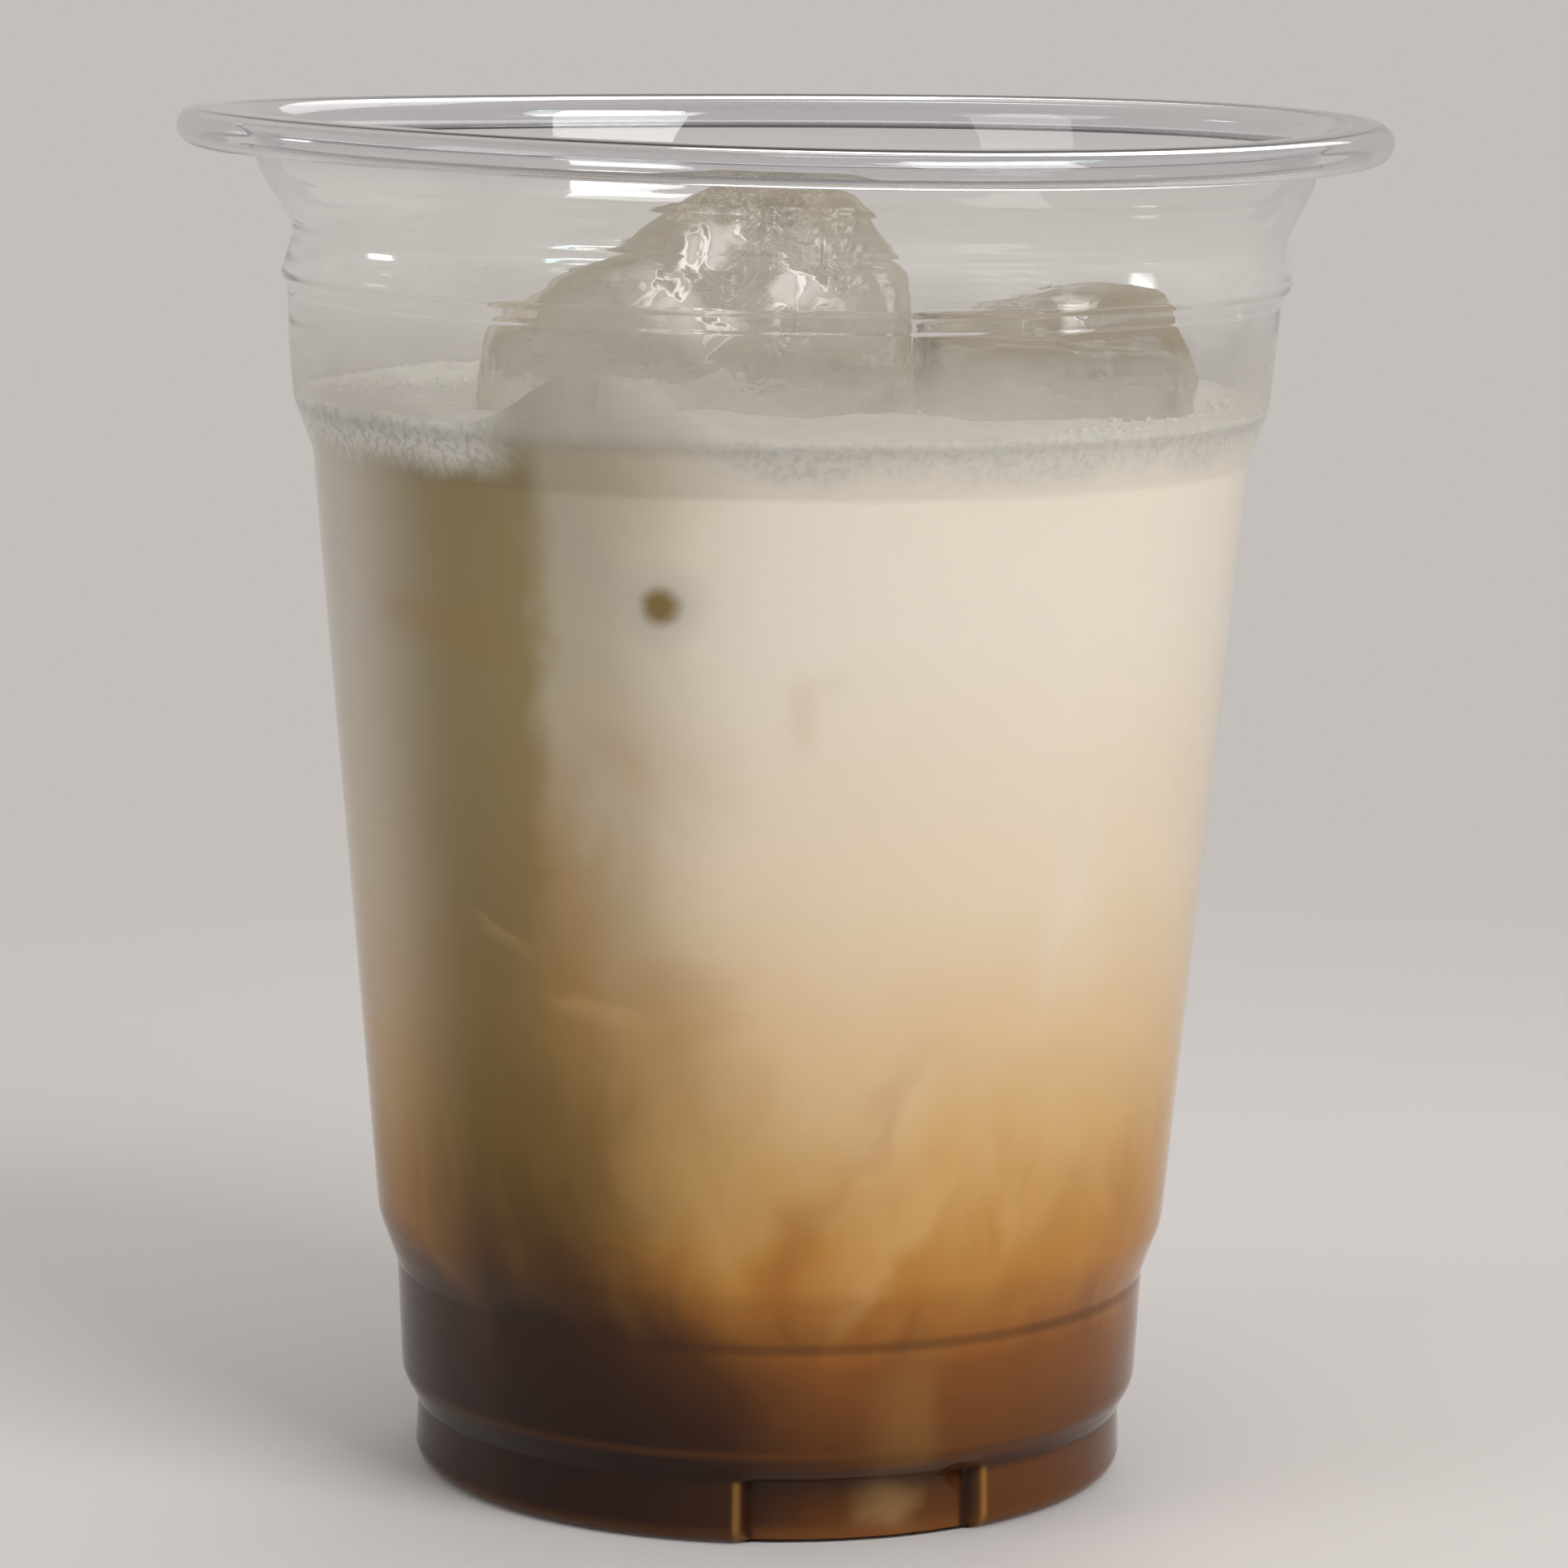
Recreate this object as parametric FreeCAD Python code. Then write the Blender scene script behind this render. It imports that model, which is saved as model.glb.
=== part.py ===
"""Iced spanish latte in a clear thermoformed cup, in millimetres.

The cup is one formed sheet: a foot with three shallow recesses, a band, a lower
shoulder, a tapered wall, a stacking shoulder, a lid groove and a rolled lip. It
holds a drink in layers (coffee, blend, milk, froth) and two pieces of ice that
stand out of it. The origin is the middle of the cup's resting plane, +Z is up.
"""
import FreeCAD, Part
import os
from math import acos, cos, hypot, radians, sin, tan
from FreeCAD import Vector

# ---- The cup: overall sizes --------------------------------------------------------
HEIGHT = 111.0
RIM_D = 98.0
WALL = 0.4

# ---- The cup: zones that hang from the rim, steps in from its outer edge, down from
# ---- its top and rounding ----------------------------------------------------------
ROLL_H = 3.0
ROLL_W = 3.5
FLARE_IN, FLARE_R = 5.4, 2.2
NECK_IN, NECK_DOWN = 6.1, 3.6
COLLAR_IN, COLLAR_DOWN, COLLAR_R = 6.3, 5.0, 2.5
LID_GROOVE_IN, LID_GROOVE_DOWN, LID_GROOVE_R = 8.4, 9.3, 2.5
LID_BEAD_IN, LID_BEAD_DOWN, LID_BEAD_R = 7.8, 12.8, 1.0
BEAD_FOOT_IN, BEAD_FOOT_DOWN, BEAD_FOOT_R = 8.7, 14.4, 1.0
STACK_TOP_IN, STACK_TOP_DOWN, STACK_TOP_R = 9.5, 23.0, 3.0
STACK_FOOT_IN, STACK_FOOT_DOWN, STACK_FOOT_R = 11.0, 27.1, 2.5

# ---- The cup: zones that stand on the floor, steps in from the lower shoulder's
# ---- outer face, height over the floor and rounding --------------------------------
SHOULDER_D, SHOULDER_Z, SHOULDER_R = 64.9, 21.0, 6.0
BAND_TOP_IN, BAND_TOP_Z, BAND_TOP_R = 1.55, 16.9, 1.2
BAND_FOOT_IN, BAND_FOOT_Z, BAND_FOOT_R = 2.0, 7.6, 3.0
FOOT_GROOVE_IN, FOOT_GROOVE_Z, FOOT_GROOVE_R = 3.3, 5.3, 0.8
FOOT_IN, FOOT_R = 3.1, 1.3
STAND_IN, STAND_R = 5.9, 1.0
PUNT_IN, PUNT_H, PUNT_R = 8.4, 2.2, 1.0

# ---- The foot's recesses -----------------------------------------------------------
RECESSES = 3
RECESS_FIRST = 286.0
RECESS_ARC = 36.0
RECESS_DEPTH = 1.7
RECESS_H = 5.0
RECESS_CORNER = 1.1

# ---- The drink ---------------------------------------------------------------------
FILL_GAP = 0.1
HEADSPACE = 23.0
FROTH_H = 2.0
COFFEE_TOP = 21.0
BLEND_TOP = 44.0
LAYER_TILT = 5.0

# ---- The ice: outlines seen from the front as (x, height over the drink), then the
# ---- front-to-back depth, the middle of that depth, the turn and lean in degrees ----
LARGE_ICE = [(-25.0, -1.5), (-24.0, 6.0), (-6.0, 16.8), (5.0, 16.8), (9.6, 10.0), (10.6, -9.0), (-19.0, -12.0)]
LARGE_DEPTH, LARGE_Y, LARGE_TURN, LARGE_LEAN, LARGE_ROUND = 26.0, 0.0, 4.0, 6.0, 3.0
SMALL_ICE = [(12.2, -10.0), (11.8, 6.6), (21.5, 9.6), (30.5, 9.4), (33.0, 2.5), (31.0, -11.0)]
SMALL_DEPTH, SMALL_Y, SMALL_TURN, SMALL_LEAN, SMALL_ROUND = 23.0, -1.0, 3.0, 4.0, 2.2
ICE_WALL_GAP = 0.6

RIM_R = RIM_D / 2
LEVEL = HEIGHT - HEADSPACE
FOOT_RADIUS = SHOULDER_D / 2 - FOOT_IN
FAR = 4 * HEIGHT
NEAR = 1e-3


# ---- Rounded outlines --------------------------------------------------------------
def unit(a, b):
    """The direction from point a to point b, and the distance."""
    length = hypot(b[0] - a[0], b[1] - a[1])
    return (b[0] - a[0]) / length, (b[1] - a[1]) / length, length


def shifted(points, distance):
    """An open outline of (x, z, rounding), moved to its right-hand side by a distance."""
    moved = []
    for i, (x, z, rounding) in enumerate(points):
        before = unit(points[i - 1], points[i]) if i else unit(points[0], points[1])
        after = unit(points[i], points[i + 1]) if i + 1 < len(points) else before
        turn = before[0] * after[1] - before[1] * after[0]
        lean = 1 + before[0] * after[0] + before[1] * after[1]
        x += distance * (before[1] + after[1]) / lean
        z -= distance * (before[0] + after[0]) / lean
        if rounding:
            rounding += distance if turn > 0 else -distance
        moved.append((x, z, rounding))
    return moved


def outline_edges(points, closed=False):
    """Straight edges through (x, z, rounding), with a tangent arc at each rounded corner."""
    edges = []
    count = len(points)
    corners = []
    for i, (x, z, rounding) in enumerate(points):
        inner = closed or 0 < i < count - 1
        if not (inner and rounding):
            corners.append((Vector(x, 0, z), Vector(x, 0, z), None))
            continue
        ux, uz, _ = unit(points[i - 1], points[i])
        vx, vz, _ = unit(points[i], points[(i + 1) % count])
        half_turn = acos(max(-1.0, min(1.0, ux * vx + uz * vz))) / 2
        reach = rounding * tan(half_turn)
        start = Vector(x - reach * ux, 0, z - reach * uz)
        end = Vector(x + reach * vx, 0, z + reach * vz)
        towards = Vector(vx - ux, 0, vz - uz).normalize()
        middle = Vector(x, 0, z) + towards * (rounding / cos(half_turn) - rounding)
        corners.append((start, end, middle))
    for i, (start, end, middle) in enumerate(corners):
        if i or closed:
            last = corners[i - 1][1]
            if (start - last).Length > NEAR:
                edges.append(Part.LineSegment(last, start).toShape())
        if middle:
            edges.append(Part.Arc(start, middle, end).toShape())
    return edges


def revolved(edges):
    """The solid of revolution about Z of a closed set of edges."""
    wire = Part.Wire(Part.__sortEdges__(edges))
    return Part.makeSolid(Part.Face(wire).revolve(Vector(0, 0, 0), Vector(0, 0, 1), 360))


# ---- The cup -----------------------------------------------------------------------
def rim_point(step_in, down, rounding=0.0):
    """A point of the sheet's middle line, given by the outer face under the rim."""
    return RIM_R - step_in - WALL / 2, HEIGHT - down, rounding


def foot_point(step_in, height, rounding=0.0):
    """A point of the sheet's middle line, given by the outer face above the floor."""
    return SHOULDER_D / 2 - step_in - WALL / 2, height, rounding


def body_line():
    """The middle line of the sheet from the axis up to the neck."""
    return [
        (0.0, PUNT_H + WALL / 2, 0.0),
        foot_point(PUNT_IN, PUNT_H + WALL / 2, PUNT_R),
        foot_point(STAND_IN, WALL / 2, STAND_R),
        foot_point(FOOT_IN, WALL / 2, FOOT_R),
        foot_point(FOOT_GROOVE_IN, FOOT_GROOVE_Z, FOOT_GROOVE_R),
        foot_point(BAND_FOOT_IN, BAND_FOOT_Z, BAND_FOOT_R),
        foot_point(BAND_TOP_IN, BAND_TOP_Z, BAND_TOP_R),
        foot_point(0.0, SHOULDER_Z, SHOULDER_R),
        rim_point(STACK_FOOT_IN, STACK_FOOT_DOWN, STACK_FOOT_R),
        rim_point(STACK_TOP_IN, STACK_TOP_DOWN, STACK_TOP_R),
        rim_point(BEAD_FOOT_IN, BEAD_FOOT_DOWN, BEAD_FOOT_R),
        rim_point(LID_BEAD_IN, LID_BEAD_DOWN, LID_BEAD_R),
        rim_point(LID_GROOVE_IN, LID_GROOVE_DOWN, LID_GROOVE_R),
        rim_point(COLLAR_IN, COLLAR_DOWN, COLLAR_R),
        rim_point(NECK_IN, NECK_DOWN),
    ]


def lip_line():
    """The middle line of the rolled lip, from the neck out, over and under."""
    roll = (ROLL_H - WALL) / 2
    top, under, edge = HEIGHT - WALL / 2, HEIGHT - ROLL_H + WALL / 2, RIM_R - WALL / 2
    return [
        (RIM_R - FLARE_IN, top, FLARE_R),
        (edge, top, roll),
        (edge, under, roll),
        (RIM_R - ROLL_W, under, 0.0),
    ]


def sheet_solid():
    """The formed sheet, with the same wall everywhere and an open roll at the lip."""
    line = body_line() + lip_line()
    outer = outline_edges(shifted(line, WALL / 2))
    inner = outline_edges(shifted(line, -WALL / 2))
    axis = Part.LineSegment(outer[0].firstVertex().Point, inner[0].firstVertex().Point).toShape()
    lip_edge = Part.LineSegment(outer[-1].lastVertex().Point, inner[-1].lastVertex().Point).toShape()
    return revolved(outer + [lip_edge] + inner + [axis])


def filled_solid(offset):
    """All that lies inside the sheet's middle line, moved out by an offset."""
    line = shifted(body_line(), offset)
    top = line[-1]
    edges = outline_edges(line + [(0.0, top[1], 0.0)])
    edges.append(Part.LineSegment(Vector(0, 0, top[1]), Vector(0, 0, line[0][1])).toShape())
    return revolved(edges)


def recess_tool(grow):
    """The space of one recess in the foot, facing +X, grown on every side."""
    back = FOOT_RADIUS - RECESS_DEPTH - grow
    half = back * sin(radians(RECESS_ARC / 2)) + grow
    corner = RECESS_CORNER + grow
    start = back * cos(radians(RECESS_ARC / 2)) - corner
    reach = FOOT_RADIUS + RECESS_DEPTH - start
    height = RECESS_H + grow + FOOT_RADIUS
    box = Part.makeBox(reach, 2 * half, height, Vector(start, -half, -FOOT_RADIUS))
    tool = box.cut(Part.makeCylinder(back, height, Vector(0, 0, -FOOT_RADIUS)))
    upright = [edge for edge in tool.Edges if is_upright(edge) and edge.BoundBox.XMin < FOOT_RADIUS]
    return tool.makeFillet(corner, upright)


def is_upright(edge):
    """Whether an edge is straight and runs along Z."""
    box = edge.BoundBox
    return max(box.XLength, box.YLength) < NEAR < box.ZLength


def recesses(grow):
    """All the foot's recesses as cutting tools."""
    tools = []
    for i in range(RECESSES):
        tool = recess_tool(grow)
        tool.rotate(Vector(0, 0, 0), Vector(0, 0, 1), RECESS_FIRST + i * 360.0 / RECESSES)
        tools.append(tool)
    return tools


def make_cup():
    """The sheet with its recesses pressed in, each lined with the same wall."""
    cup = sheet_solid()
    whole = filled_solid(WALL / 2)
    for space, lined in zip(recesses(0.0), recesses(WALL)):
        cup = cup.cut(space).fuse(lined.common(whole).cut(space))
    return cup.removeSplitter()


# ---- The ice -----------------------------------------------------------------------
def ice_block(outline, depth, mid_y, turn, lean, rounding, grow):
    """A block with rounded edges, drawn from the front and given its depth."""
    corners = shifted_closed(outline, grow)
    wire = Part.makePolygon([Vector(x, 0, LEVEL + z) for x, z in corners + corners[:1]])
    block = Part.Face(wire).extrude(Vector(0, depth + 2 * grow, 0))
    block.translate(Vector(0, mid_y - depth / 2 - grow, 0))
    block = block.makeFillet(rounding + grow, block.Edges)
    middle = sum(x for x, z in outline) / len(outline)
    block.rotate(Vector(middle, mid_y, LEVEL), Vector(1, 0, 0), -lean)
    block.rotate(Vector(middle, mid_y, LEVEL), Vector(0, 0, 1), turn)
    return block


def shifted_closed(outline, grow):
    """A clockwise closed outline of (x, z), grown on every side."""
    if not grow:
        return list(outline)
    ring = [(x, z, 0.0) for x, z in outline]
    wrapped = shifted([ring[-1]] + ring + [ring[0]], -grow)
    return [(x, z) for x, z, _ in wrapped[1:-1]]


def ice_solids(grow):
    """The two pieces of ice, kept clear of the cup's wall, or their space grown on every side."""
    room = filled_solid(grow - WALL / 2 - ICE_WALL_GAP)
    large = ice_block(LARGE_ICE, LARGE_DEPTH, LARGE_Y, LARGE_TURN, LARGE_LEAN, LARGE_ROUND, grow)
    small = ice_block(SMALL_ICE, SMALL_DEPTH, SMALL_Y, SMALL_TURN, SMALL_LEAN, SMALL_ROUND, grow)
    return {"ice_large": large.common(room), "ice_small": small.common(room)}


# ---- The drink ---------------------------------------------------------------------
def below(height, tilt):
    """Everything under a plane through the axis, higher towards -X by its tilt."""
    block = Part.makeBox(FAR, FAR, FAR, Vector(-FAR / 2, -FAR / 2, height - FAR))
    block.rotate(Vector(0, 0, height), Vector(0, 1, 0), tilt)
    return block


def drink_layers(room):
    """The drink from the bottom up, each layer lying on the one under it."""
    tops = [("coffee", COFFEE_TOP, LAYER_TILT), ("coffee_milk_blend", BLEND_TOP, LAYER_TILT),
            ("milk", LEVEL - FROTH_H, 0.0), ("froth", LEVEL, 0.0)]
    layers = {}
    rest = room
    for name, top, tilt in tops:
        under = below(top, tilt)
        layers[name] = rest.common(under)
        rest = rest.cut(under)
    return layers


def make_drink():
    """What fills the cup up to its level, cut round the ice."""
    room = filled_solid(-WALL / 2 - FILL_GAP)
    for lined in recesses(WALL + FILL_GAP):
        room = room.cut(lined)
    ice = ice_solids(0.0)
    for pocket in ice_solids(FILL_GAP).values():
        room = room.cut(pocket)
    return {**drink_layers(room), **ice}


def main():
    os.makedirs("parts", exist_ok=True)
    nodes = {"cup": make_cup(), **make_drink()}
    for name, shape in nodes.items():
        print(name, "valid", shape.isValid(), "solids", len(shape.Solids), "volume", round(shape.Volume, 1))
        shape.exportStep("parts/" + name + ".step")


main()
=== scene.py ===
"""Iced spanish latte in a clear formed cup: the look of every piece, the floor and the light."""
import math
from math import cos, pi, radians, sin

import bmesh
import bpy
from bpy.props import FloatProperty, FloatVectorProperty, IntProperty, PointerProperty
from mathutils import Matrix, Vector, noise


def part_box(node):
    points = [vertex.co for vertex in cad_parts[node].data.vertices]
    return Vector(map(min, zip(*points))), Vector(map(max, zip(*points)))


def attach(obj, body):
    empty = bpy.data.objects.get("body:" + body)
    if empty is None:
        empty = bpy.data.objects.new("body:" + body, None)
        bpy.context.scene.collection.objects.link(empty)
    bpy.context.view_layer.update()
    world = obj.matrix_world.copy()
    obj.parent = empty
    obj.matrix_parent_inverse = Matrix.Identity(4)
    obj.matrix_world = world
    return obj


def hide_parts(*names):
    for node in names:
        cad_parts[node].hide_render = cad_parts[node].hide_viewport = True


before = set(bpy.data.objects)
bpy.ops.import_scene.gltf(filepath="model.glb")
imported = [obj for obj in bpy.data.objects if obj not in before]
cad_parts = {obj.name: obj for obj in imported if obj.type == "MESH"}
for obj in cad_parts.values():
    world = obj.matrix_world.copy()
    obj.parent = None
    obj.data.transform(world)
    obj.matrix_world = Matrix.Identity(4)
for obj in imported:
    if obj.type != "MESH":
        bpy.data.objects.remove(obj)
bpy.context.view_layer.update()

bl_info = {
    "name": "Iced Latte in a Clear Cup",
    "version": (1, 0, 0),
    "blender": (4, 5, 0),
    "location": "View3D > Sidebar > Latte",
    "description": "Forms a clear cup, pours a layered iced latte and sets it in soft light",
    "category": "Object",
}

CUP_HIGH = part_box("cup")[1]
MM = 0.001
HEIGHT = CUP_HIGH[2] / MM
RIM_RADIUS = CUP_HIGH[0] / MM
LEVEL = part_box("froth")[1][2] / MM
DRINK_NODES = ("coffee", "coffee_milk_blend", "milk", "froth")

# The formed sheet's outer face in mm. Near the floor: steps in from the lower shoulder,
# height and rounding. Under the rim: steps in from its edge, down from its top, rounding.
SHOULDER_RADIUS = 32.45
FOOT_ZONES = ((8.4, 2.4, 1.0), (5.9, 0.2, 1.0), (3.1, 0.2, 1.3), (3.3, 5.3, 0.8),
              (2.0, 7.6, 3.0), (1.55, 16.9, 1.2), (0.0, 21.0, 6.0))
RIM_ZONES = ((11.0, 27.1, 2.5), (9.5, 23.0, 3.0), (8.7, 14.4, 1.0), (7.8, 12.8, 1.0),
             (8.4, 9.3, 2.5), (6.3, 5.0, 2.5), (6.1, 3.6, 0.0))
LIP_FLARE_IN, LIP_FLARE_ROUND, LIP_WIDTH, LIP_HEIGHT = 5.4, 2.2, 3.5, 3.0
FOOT_RADIUS = SHOULDER_RADIUS - 3.1

# The sheet's unevenness in mm, how far up and down its dent reaches in metres, and how far
# round the side of a recess goes.
DENT_DEPTH, DENT_HEIGHT, WAVINESS, RIM_WARP = 1.1, 101.6, 0.5, 0.35
DENT_REACH = 0.0045
RECESS_SIDE = radians(2.4)

# The lathe's steps are finer round a recess's ends: how far past them, and between which
# shares of the way from a recess's middle to halfway to the next.
FINE_MARGIN = radians(1.5)
FINE_SHARE = (0.14, 0.56)

# How the milk climbs the wall: all round, and in the hump at the front left.
MENISCUS_HEIGHT, MENISCUS_REACH = 0.5, 1.0
HUMP_TURN, HUMP_WIDTH, HUMP_REACH = -21, 11.5, 2.0

# How each block of ice has melted: its seed, the height over the drink from which its front
# leans back at x = 0 and how that falls to the right, how much it leans, and how far its left
# end has grown.
ICE_FORMS = {"ice_large": {"seed": 1, "ridge": 5.0, "fall": 0.12, "lean": 0.45, "stretch": 0.0},
             "ice_small": {"seed": 2, "ridge": 5.2, "fall": 0.0, "lean": 1.1, "stretch": 0.9}}
HOLLOW_GRAIN, HOLLOW_SHRINK = 1.4, 0.25

# Each block's broken patch, where white folds of painted highlight go, as its middle and half
# its size across and up, and how much coffee has stained its top.
ICE_MARKS = {"ice_large": ((-2.5, 99.0, 10.5, 6.5), 0.15),
             "ice_small": ((22.0, 96.0, 4.0, 2.0), 1.0)}
STAIN_START = 4.2

# Streaks in the drink, and a few patches of painted highlight and reflection, in mm on its
# unrolled side: round from the front and up. Each has its start, its end, how far it fades
# to the left and to the right, its strength and tone.
SWIRLS_AND_HIGHLIGHTS = (((-17.5, 60.0), (-16.0, 36.0), 4.5, 5.5, 0.55, "gold"),
          ((-13.0, 52.0), (-9.0, 30.0), 6.0, 5.0, 0.25, "gold"),
          ((-36.0, 74.0), (-23.0, 71.0), 4.5, 4.0, 0.28, "gold"),
          ((-31.0, 60.0), (-24.0, 46.0), 4.0, 5.0, 0.18, "khaki_grey"),
          # Painted highlight: a greyer, paler patch beside the coffee side's edge, under the froth
          # band.
          ((-18.0, 84.0), (-12.0, 74.0), 5.0, 5.5, 0.40, "froth"),
          ((-8.0, 37.0), (-2.6, 22.5), 1.0, 4.5, 0.14, "wisp"),
          ((0.5, 20.0), (4.0, 29.0), 4.0, 3.5, 0.50, "rust"),
          ((4.0, 26.0), (13.0, 40.0), 3.5, 1.6, 0.20, "rust"),
          ((6.0, 19.5), (16.0, 31.0), 4.5, 1.6, 0.28, "wisp"),
          ((21.0, 18.0), (31.0, 30.0), 3.0, 4.5, 0.16, "rust"),
          ((-10.5, 46.0), (-3.0, 26.0), 10.0, 10.0, 0.38, "gold"),
          ((2.0, 35.0), (6.0, 26.0), 8.0, 8.0, 0.22, "gold"),
          # The next two are painted highlight: a soft patch of light on the recess panel at the foot.
          ((13.0, 1.0), (14.0, 17.0), 5.0, 5.0, 0.22, "gold"),
          ((12.6, 0.5), (13.2, 5.0), 4.5, 4.5, 0.20, "wisp"),
          ((-27.0, 50.5), (-20.0, 47.5), 0.5, 1.6, 0.20, "wisp"),
          ((-18.5, 44.5), (-10.5, 42.0), 0.5, 2.2, 0.20, "wisp"),
          # Painted reflection: a soft pale streak down the right-hand side.
          ((29.0, 62.0), (24.0, 44.0), 1.0, 3.0, 0.30, "milk"),
          ((2.5, 70.0), (1.0, 64.0), 2.6, 2.6, 0.16, "gold"),
          ((-14.0, 66.0), (-9.0, 60.0), 3.0, 3.0, 0.15, "gold"))

# Where each tone of the drink starts, in mm up, on its milky side and on its coffee side.
LIT_TONES = ((8, "coffee_light"), (15, "brown"), (19, "brown_gold"), (24, "amber"),
             (32, "caramel"), (40, "tan"), (52, "cream"), (72, "milk"))
DEEP_TONES = ((8, "coffee"), (17, "coffee_warm"), (22, "umber"), (31, "bronze"),
              (42, "khaki_brown"), (66, "khaki"))
TONES_TOP = 90.0

# Painted lines where the drink shows the sheet's bends: height, reach, core, strength and tone.
# The first two are painted shade under the bends, the first also partly where the sheet is
# thicker. The third is a painted highlight on the edge over the lower groove. Then the ends of
# a recess: degrees past its end, reach, core, strength and tone. They are a painted highlight at
# the outer corner of the recess's side and painted shade at its inner corner.
PAINTED_BEND_LINES = ((16.4, 0.75, 0.1, 0.5, "coffee_warm"), (5.6, 1.1, 0.2, 0.65, "coffee"),
         (7.6, 0.6, 0.1, 0.25, "brown"))
PAINTED_RECESS_LINES = ((2.7, 0.9, 0.1, 0.4, "amber"), (0.7, 1.2, 0.2, 0.75, "coffee"))

# The middle of the soft dark spot, in mm.
SPOT = (-9.1, -36.2, 75.4)

# Lamps: size, azimuth, elevation, distance and what they are aimed at, in metres and degrees.
# Azimuth 0 is in front and 90 at the right. Windows also have their power before it, and
# their tone and the share of each side over which they fade after it.
CUP_MIDDLE, RIM_MIDDLE = (0, 0, 0.06), (0, 0, 0.098)
LAMPS = {"key": ((0.5, 0.5), 42, 35, 0.9, CUP_MIDDLE),
         "fill": ((0.4, 0.5), -60, 30, 1.0, CUP_MIDDLE),
         "back": ((0.5, 0.5), 165, 38, 1.0, CUP_MIDDLE)}
WINDOWS = {"window_right": (2.4, ((0.38, 0.15), 46, 45, 0.8, RIM_MIDDLE), (1, 1, 1), 0.02),
           "window_left": (0.5, ((0.16, 0.08), -100, 8, 0.8, RIM_MIDDLE), (1, 1, 1), 0.3),
           "sky_slit": (0.3, ((0.16, 0.03), 71, 47, 0.8, RIM_MIDDLE), (0.55, 0.95, 1.0), 0.3)}

# The camera's place in metres and its turns in radians.
CAMERA_PLACE = (0, -0.48437, 0.13292)
CAMERA_PAN, CAMERA_TILT, CAMERA_ROLL = -0.0013, 0.1568, 0.0147

# How many bounces light may take in the clear pieces, and what it is then taken to meet.
BOUNCES = 6.5
CAUGHT_LIGHT = (0.5, 0.5, 0.53)


def colour(red, green, blue):
    """A screen colour of 0 to 255 a channel as linear red, green and blue."""
    channels = (c / 255 for c in (red, green, blue))
    return tuple(c / 12.92 if c <= 0.04045 else ((c + 0.055) / 1.055) ** 2.4 for c in channels)


# ---- Sizes and colours that a user would change ------------------------------------
def length(name, value, text):
    return FloatProperty(name=name, default=value * MM, unit="LENGTH", description=text)


def power(name, value, text):
    return FloatProperty(name=name, default=value, unit="POWER", description=text)


def shade(name, rgb, text):
    return FloatVectorProperty(name=name, default=colour(*rgb), subtype="COLOR", size=3,
                               min=0, max=1, description=text)


class CupSizes(bpy.types.PropertyGroup):
    """Sizes of the clear cup."""
    wall: length("Wall", 0.4, "Thickness of the formed sheet")
    segments: IntProperty(name="Segments", default=360, description="Steps round the cup")
    recesses: IntProperty(name="Recesses", default=3, description="Recesses pressed into the foot")
    recess_first: FloatProperty(name="First Recess", default=radians(286), subtype="ANGLE",
                                description="Where the first recess lies, from +X")
    recess_arc: FloatProperty(name="Recess Arc", default=radians(36), subtype="ANGLE",
                              description="How far round the foot a recess goes")
    recess_depth: length("Recess Depth", 1.7, "How deep a recess is pressed in")
    recess_height: length("Recess Height", 5.0, "How high a recess reaches")
    tint: shade("Sheet Tint", (251, 251, 250), "Colour of the clear sheet")
    lip_tint: shade("Lip Tint", (243, 243, 245), "Colour of the sheet where it is thick, at the lip")
    haze: shade("Haze", (236, 233, 228), "Colour of the faint haze over the drink")
    film: shade("Milk Film", (189, 185, 176), "Colour of the thin film of milk on the wall")


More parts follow.
